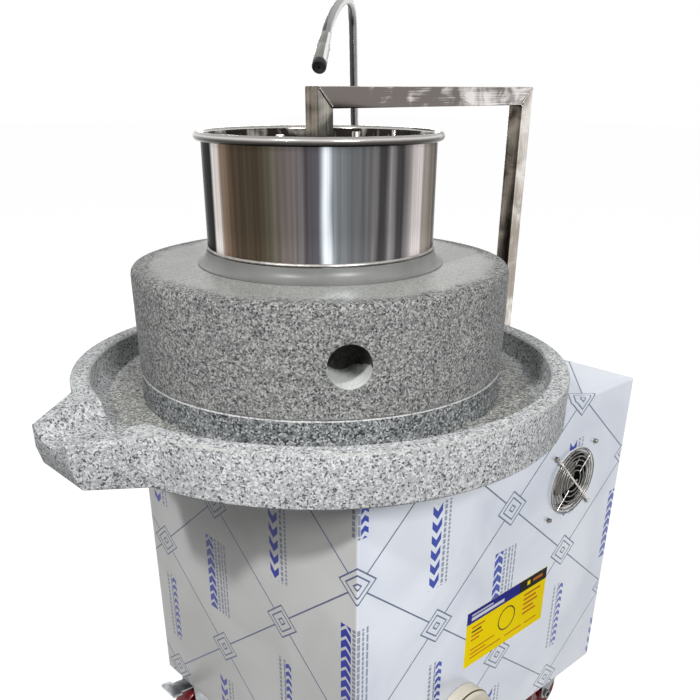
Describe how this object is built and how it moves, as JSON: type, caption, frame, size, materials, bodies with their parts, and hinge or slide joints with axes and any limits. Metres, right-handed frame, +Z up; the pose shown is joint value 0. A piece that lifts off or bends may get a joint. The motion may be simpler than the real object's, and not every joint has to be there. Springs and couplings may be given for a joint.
{
  "type": "stone mill grinder",
  "caption": "Electric granite stone mill: round upper stone with steel hopper over a spouted tray, on a square wheeled cabinet with drive, water neck and rotary switch.",
  "frame": {"origin": "on the floor, under the middle of the overall footprint", "axes": "+Z up along the mill axis, -Y towards the pouring spout, +X towards the side with the switch and the fan"},
  "size_m": [0.548, 0.6942, 0.9405],
  "materials": {
    "granite": "pecked speckled granite",
    "dark_granite": "sawn speckled granite",
    "filmed_steel": "sheet steel under white printed protective film",
    "satin_steel": "brushed stainless steel",
    "polished_steel": "mirror polished stainless steel",
    "neck_steel": "wound flexible steel tube",
    "zinc_steel": "zinc plated steel",
    "painted_steel": "grey machine paint",
    "cast_iron": "as cast",
    "seal_rubber": "smooth grey sealant",
    "cream_plastic": "moulded thermoset",
    "dark_plastic": "moulded black plastic",
    "red_plastic": "dark red moulded plastic",
    "clear_hose": "milky hose"
  },
  "bodies": {
    "machine": {"cabinet_shell": "filmed_steel", "rear_panel": "satin_steel", "cable_gland": "dark_plastic", "inner_frame": "painted_steel", "tray": "granite", "lower_stone": "dark_granite", "bearing_housing": "cast_iron", "gearbox_housing": "cast_iron", "motor_housing": "painted_steel", "motor_cowl": "painted_steel", "capacitor_box": "dark_plastic", "gantry_upright": "polished_steel", "gantry_beam": "polished_steel", "gantry_leg": "polished_steel", "gantry_foot": "satin_steel", "feed_rake": "satin_steel", "tap_body": "polished_steel", "feed_hose": "clear_hose", "water_inlet": "zinc_steel", "fan_frame": "dark_plastic", "fan_guard": "polished_steel", "switch_housing": "cream_plastic", "switch_face": "cream_plastic", "castor_plate_front_left": "zinc_steel", "castor_plate_front_right": "zinc_steel", "castor_plate_rear_left": "zinc_steel", "castor_plate_rear_right": "zinc_steel"},
    "mill": {"upper_stone": "granite", "drive_cross": "cast_iron", "hopper": "polished_steel", "hopper_seal": "seal_rubber", "main_shaft": "zinc_steel", "worm_wheel": "cast_iron"},
    "motor_drive": {"motor_rotor": "zinc_steel", "worm": "zinc_steel"},
    "fan": {"fan_rotor": "dark_plastic"},
    "switch_handle": {"switch_knob": "dark_plastic"},
    "neck": {"flex_neck": "neck_steel", "nozzle": "polished_steel", "nozzle_outlet": "dark_plastic"},
    "tap_handle": {"tap_lever": "red_plastic"},
    "castor_front_left": {"castor_fork_front_left": "zinc_steel", "castor_axle_front_left": "zinc_steel"},
    "wheel_front_left": {"castor_wheel_front_left": "red_plastic"},
    "castor_front_right": {"castor_fork_front_right": "zinc_steel", "castor_axle_front_right": "zinc_steel"},
    "wheel_front_right": {"castor_wheel_front_right": "red_plastic"},
    "castor_rear_left": {"castor_fork_rear_left": "zinc_steel", "castor_axle_rear_left": "zinc_steel"},
    "wheel_rear_left": {"castor_wheel_rear_left": "red_plastic"},
    "castor_rear_right": {"castor_fork_rear_right": "zinc_steel", "castor_axle_rear_right": "zinc_steel"},
    "wheel_rear_right": {"castor_wheel_rear_right": "red_plastic"},
    "brake_front_left": {"castor_brake_front_left": "zinc_steel"},
    "brake_front_right": {"castor_brake_front_right": "zinc_steel"}
  },
  "joints": [
    {"name": "mill_spin", "type": "hinge", "parent": "machine", "child": "mill", "pos_m": [0, -0.02205, 0.6], "axis": [0, 0, 1], "continuous": true},
    {"name": "motor_spin", "type": "hinge", "parent": "machine", "child": "motor_drive", "pos_m": [0.063, -0.02205, 0.41731], "axis": [0, 1, 0], "continuous": true},
    {"name": "fan_spin", "type": "hinge", "parent": "machine", "child": "fan", "pos_m": [0.184, 0.20995, 0.41361], "axis": [1, 0, 0], "continuous": true},
    {"name": "switch_turn", "type": "hinge", "parent": "machine", "child": "switch_handle", "pos_m": [0.23, 0.01895, 0.15561], "axis": [1, 0, 0], "range_deg": [-45, 45]},
    {"name": "neck_swivel", "type": "hinge", "parent": "machine", "child": "neck", "pos_m": [-0.184, 0.20295, 0.556], "axis": [0, 0, 1], "range_deg": [-90, 90]},
    {"name": "tap_turn", "type": "hinge", "parent": "machine", "child": "tap_handle", "pos_m": [-0.184, 0.22595, 0.53991], "axis": [0, 1, 0], "range_deg": [0, 90]},
    {"name": "castor_swivel_front_left", "type": "hinge", "parent": "machine", "child": "castor_front_left", "pos_m": [-0.16, -0.11305, 0.072], "axis": [0, 0, 1], "continuous": true},
    {"name": "wheel_spin_front_left", "type": "hinge", "parent": "castor_front_left", "child": "wheel_front_left", "pos_m": [-0.16, -0.13705, 0.03111], "axis": [1, 0, 0], "continuous": true},
    {"name": "castor_swivel_front_right", "type": "hinge", "parent": "machine", "child": "castor_front_right", "pos_m": [0.16, -0.11305, 0.072], "axis": [0, 0, 1], "continuous": true},
    {"name": "wheel_spin_front_right", "type": "hinge", "parent": "castor_front_right", "child": "wheel_front_right", "pos_m": [0.16, -0.13705, 0.03111], "axis": [1, 0, 0], "continuous": true},
    {"name": "castor_swivel_rear_left", "type": "hinge", "parent": "machine", "child": "castor_rear_left", "pos_m": [-0.16, 0.28695, 0.072], "axis": [0, 0, 1], "continuous": true},
    {"name": "wheel_spin_rear_left", "type": "hinge", "parent": "castor_rear_left", "child": "wheel_rear_left", "pos_m": [-0.16, 0.26295, 0.03111], "axis": [1, 0, 0], "continuous": true},
    {"name": "castor_swivel_rear_right", "type": "hinge", "parent": "machine", "child": "castor_rear_right", "pos_m": [0.16, 0.28695, 0.072], "axis": [0, 0, 1], "continuous": true},
    {"name": "wheel_spin_rear_right", "type": "hinge", "parent": "castor_rear_right", "child": "wheel_rear_right", "pos_m": [0.16, 0.26295, 0.03111], "axis": [1, 0, 0], "continuous": true},
    {"name": "brake_press_front_left", "type": "hinge", "parent": "castor_front_left", "child": "brake_front_left", "pos_m": [-0.16, -0.14305, 0.07201], "axis": [1, 0, 0], "range_deg": [0, 9]},
    {"name": "brake_press_front_right", "type": "hinge", "parent": "castor_front_right", "child": "brake_front_right", "pos_m": [0.16, -0.14305, 0.07201], "axis": [1, 0, 0], "range_deg": [0, 9]}
  ],
  "couplings": [
    {"joint": "motor_spin", "follows": "mill_spin", "ratio": 30}
  ]
}
